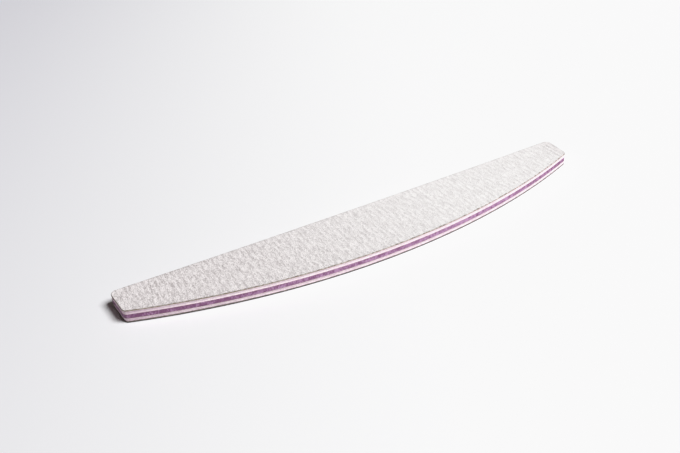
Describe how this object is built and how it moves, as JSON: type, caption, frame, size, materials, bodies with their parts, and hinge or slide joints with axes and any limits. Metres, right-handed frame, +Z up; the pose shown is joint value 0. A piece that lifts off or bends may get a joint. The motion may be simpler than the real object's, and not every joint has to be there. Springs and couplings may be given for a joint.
{
  "type": "emery board",
  "caption": "Half-moon emery board: abrasive paper on foam cushions, laminated to both faces of a stiff plastic core.",
  "frame": {"origin": "centre of the underside, on the surface that the board rests on", "axes": "+X along the board's length, +Y across it towards the nearly straight back edge, +Z up through the layers"},
  "size_m": [0.1776, 0.028, 0.0049],
  "materials": {
    "abrasive_coat": "matt stearate wash over fine grit",
    "backing_paper": "raw cut edge of kraft paper",
    "adhesive": "tacky, half clear",
    "foam": "matt closed-cell foam",
    "core": "sheared edge, mottled"
  },
  "bodies": {
    "root": {"lower_abrasive_coat": "abrasive_coat", "lower_backing_paper": "backing_paper", "lower_paper_adhesive": "adhesive", "lower_foam": "foam", "lower_core_adhesive": "adhesive", "core_plate": "core", "upper_core_adhesive": "adhesive", "upper_foam": "foam", "upper_paper_adhesive": "adhesive", "upper_backing_paper": "backing_paper", "upper_abrasive_coat": "abrasive_coat"}
  },
  "joints": []
}
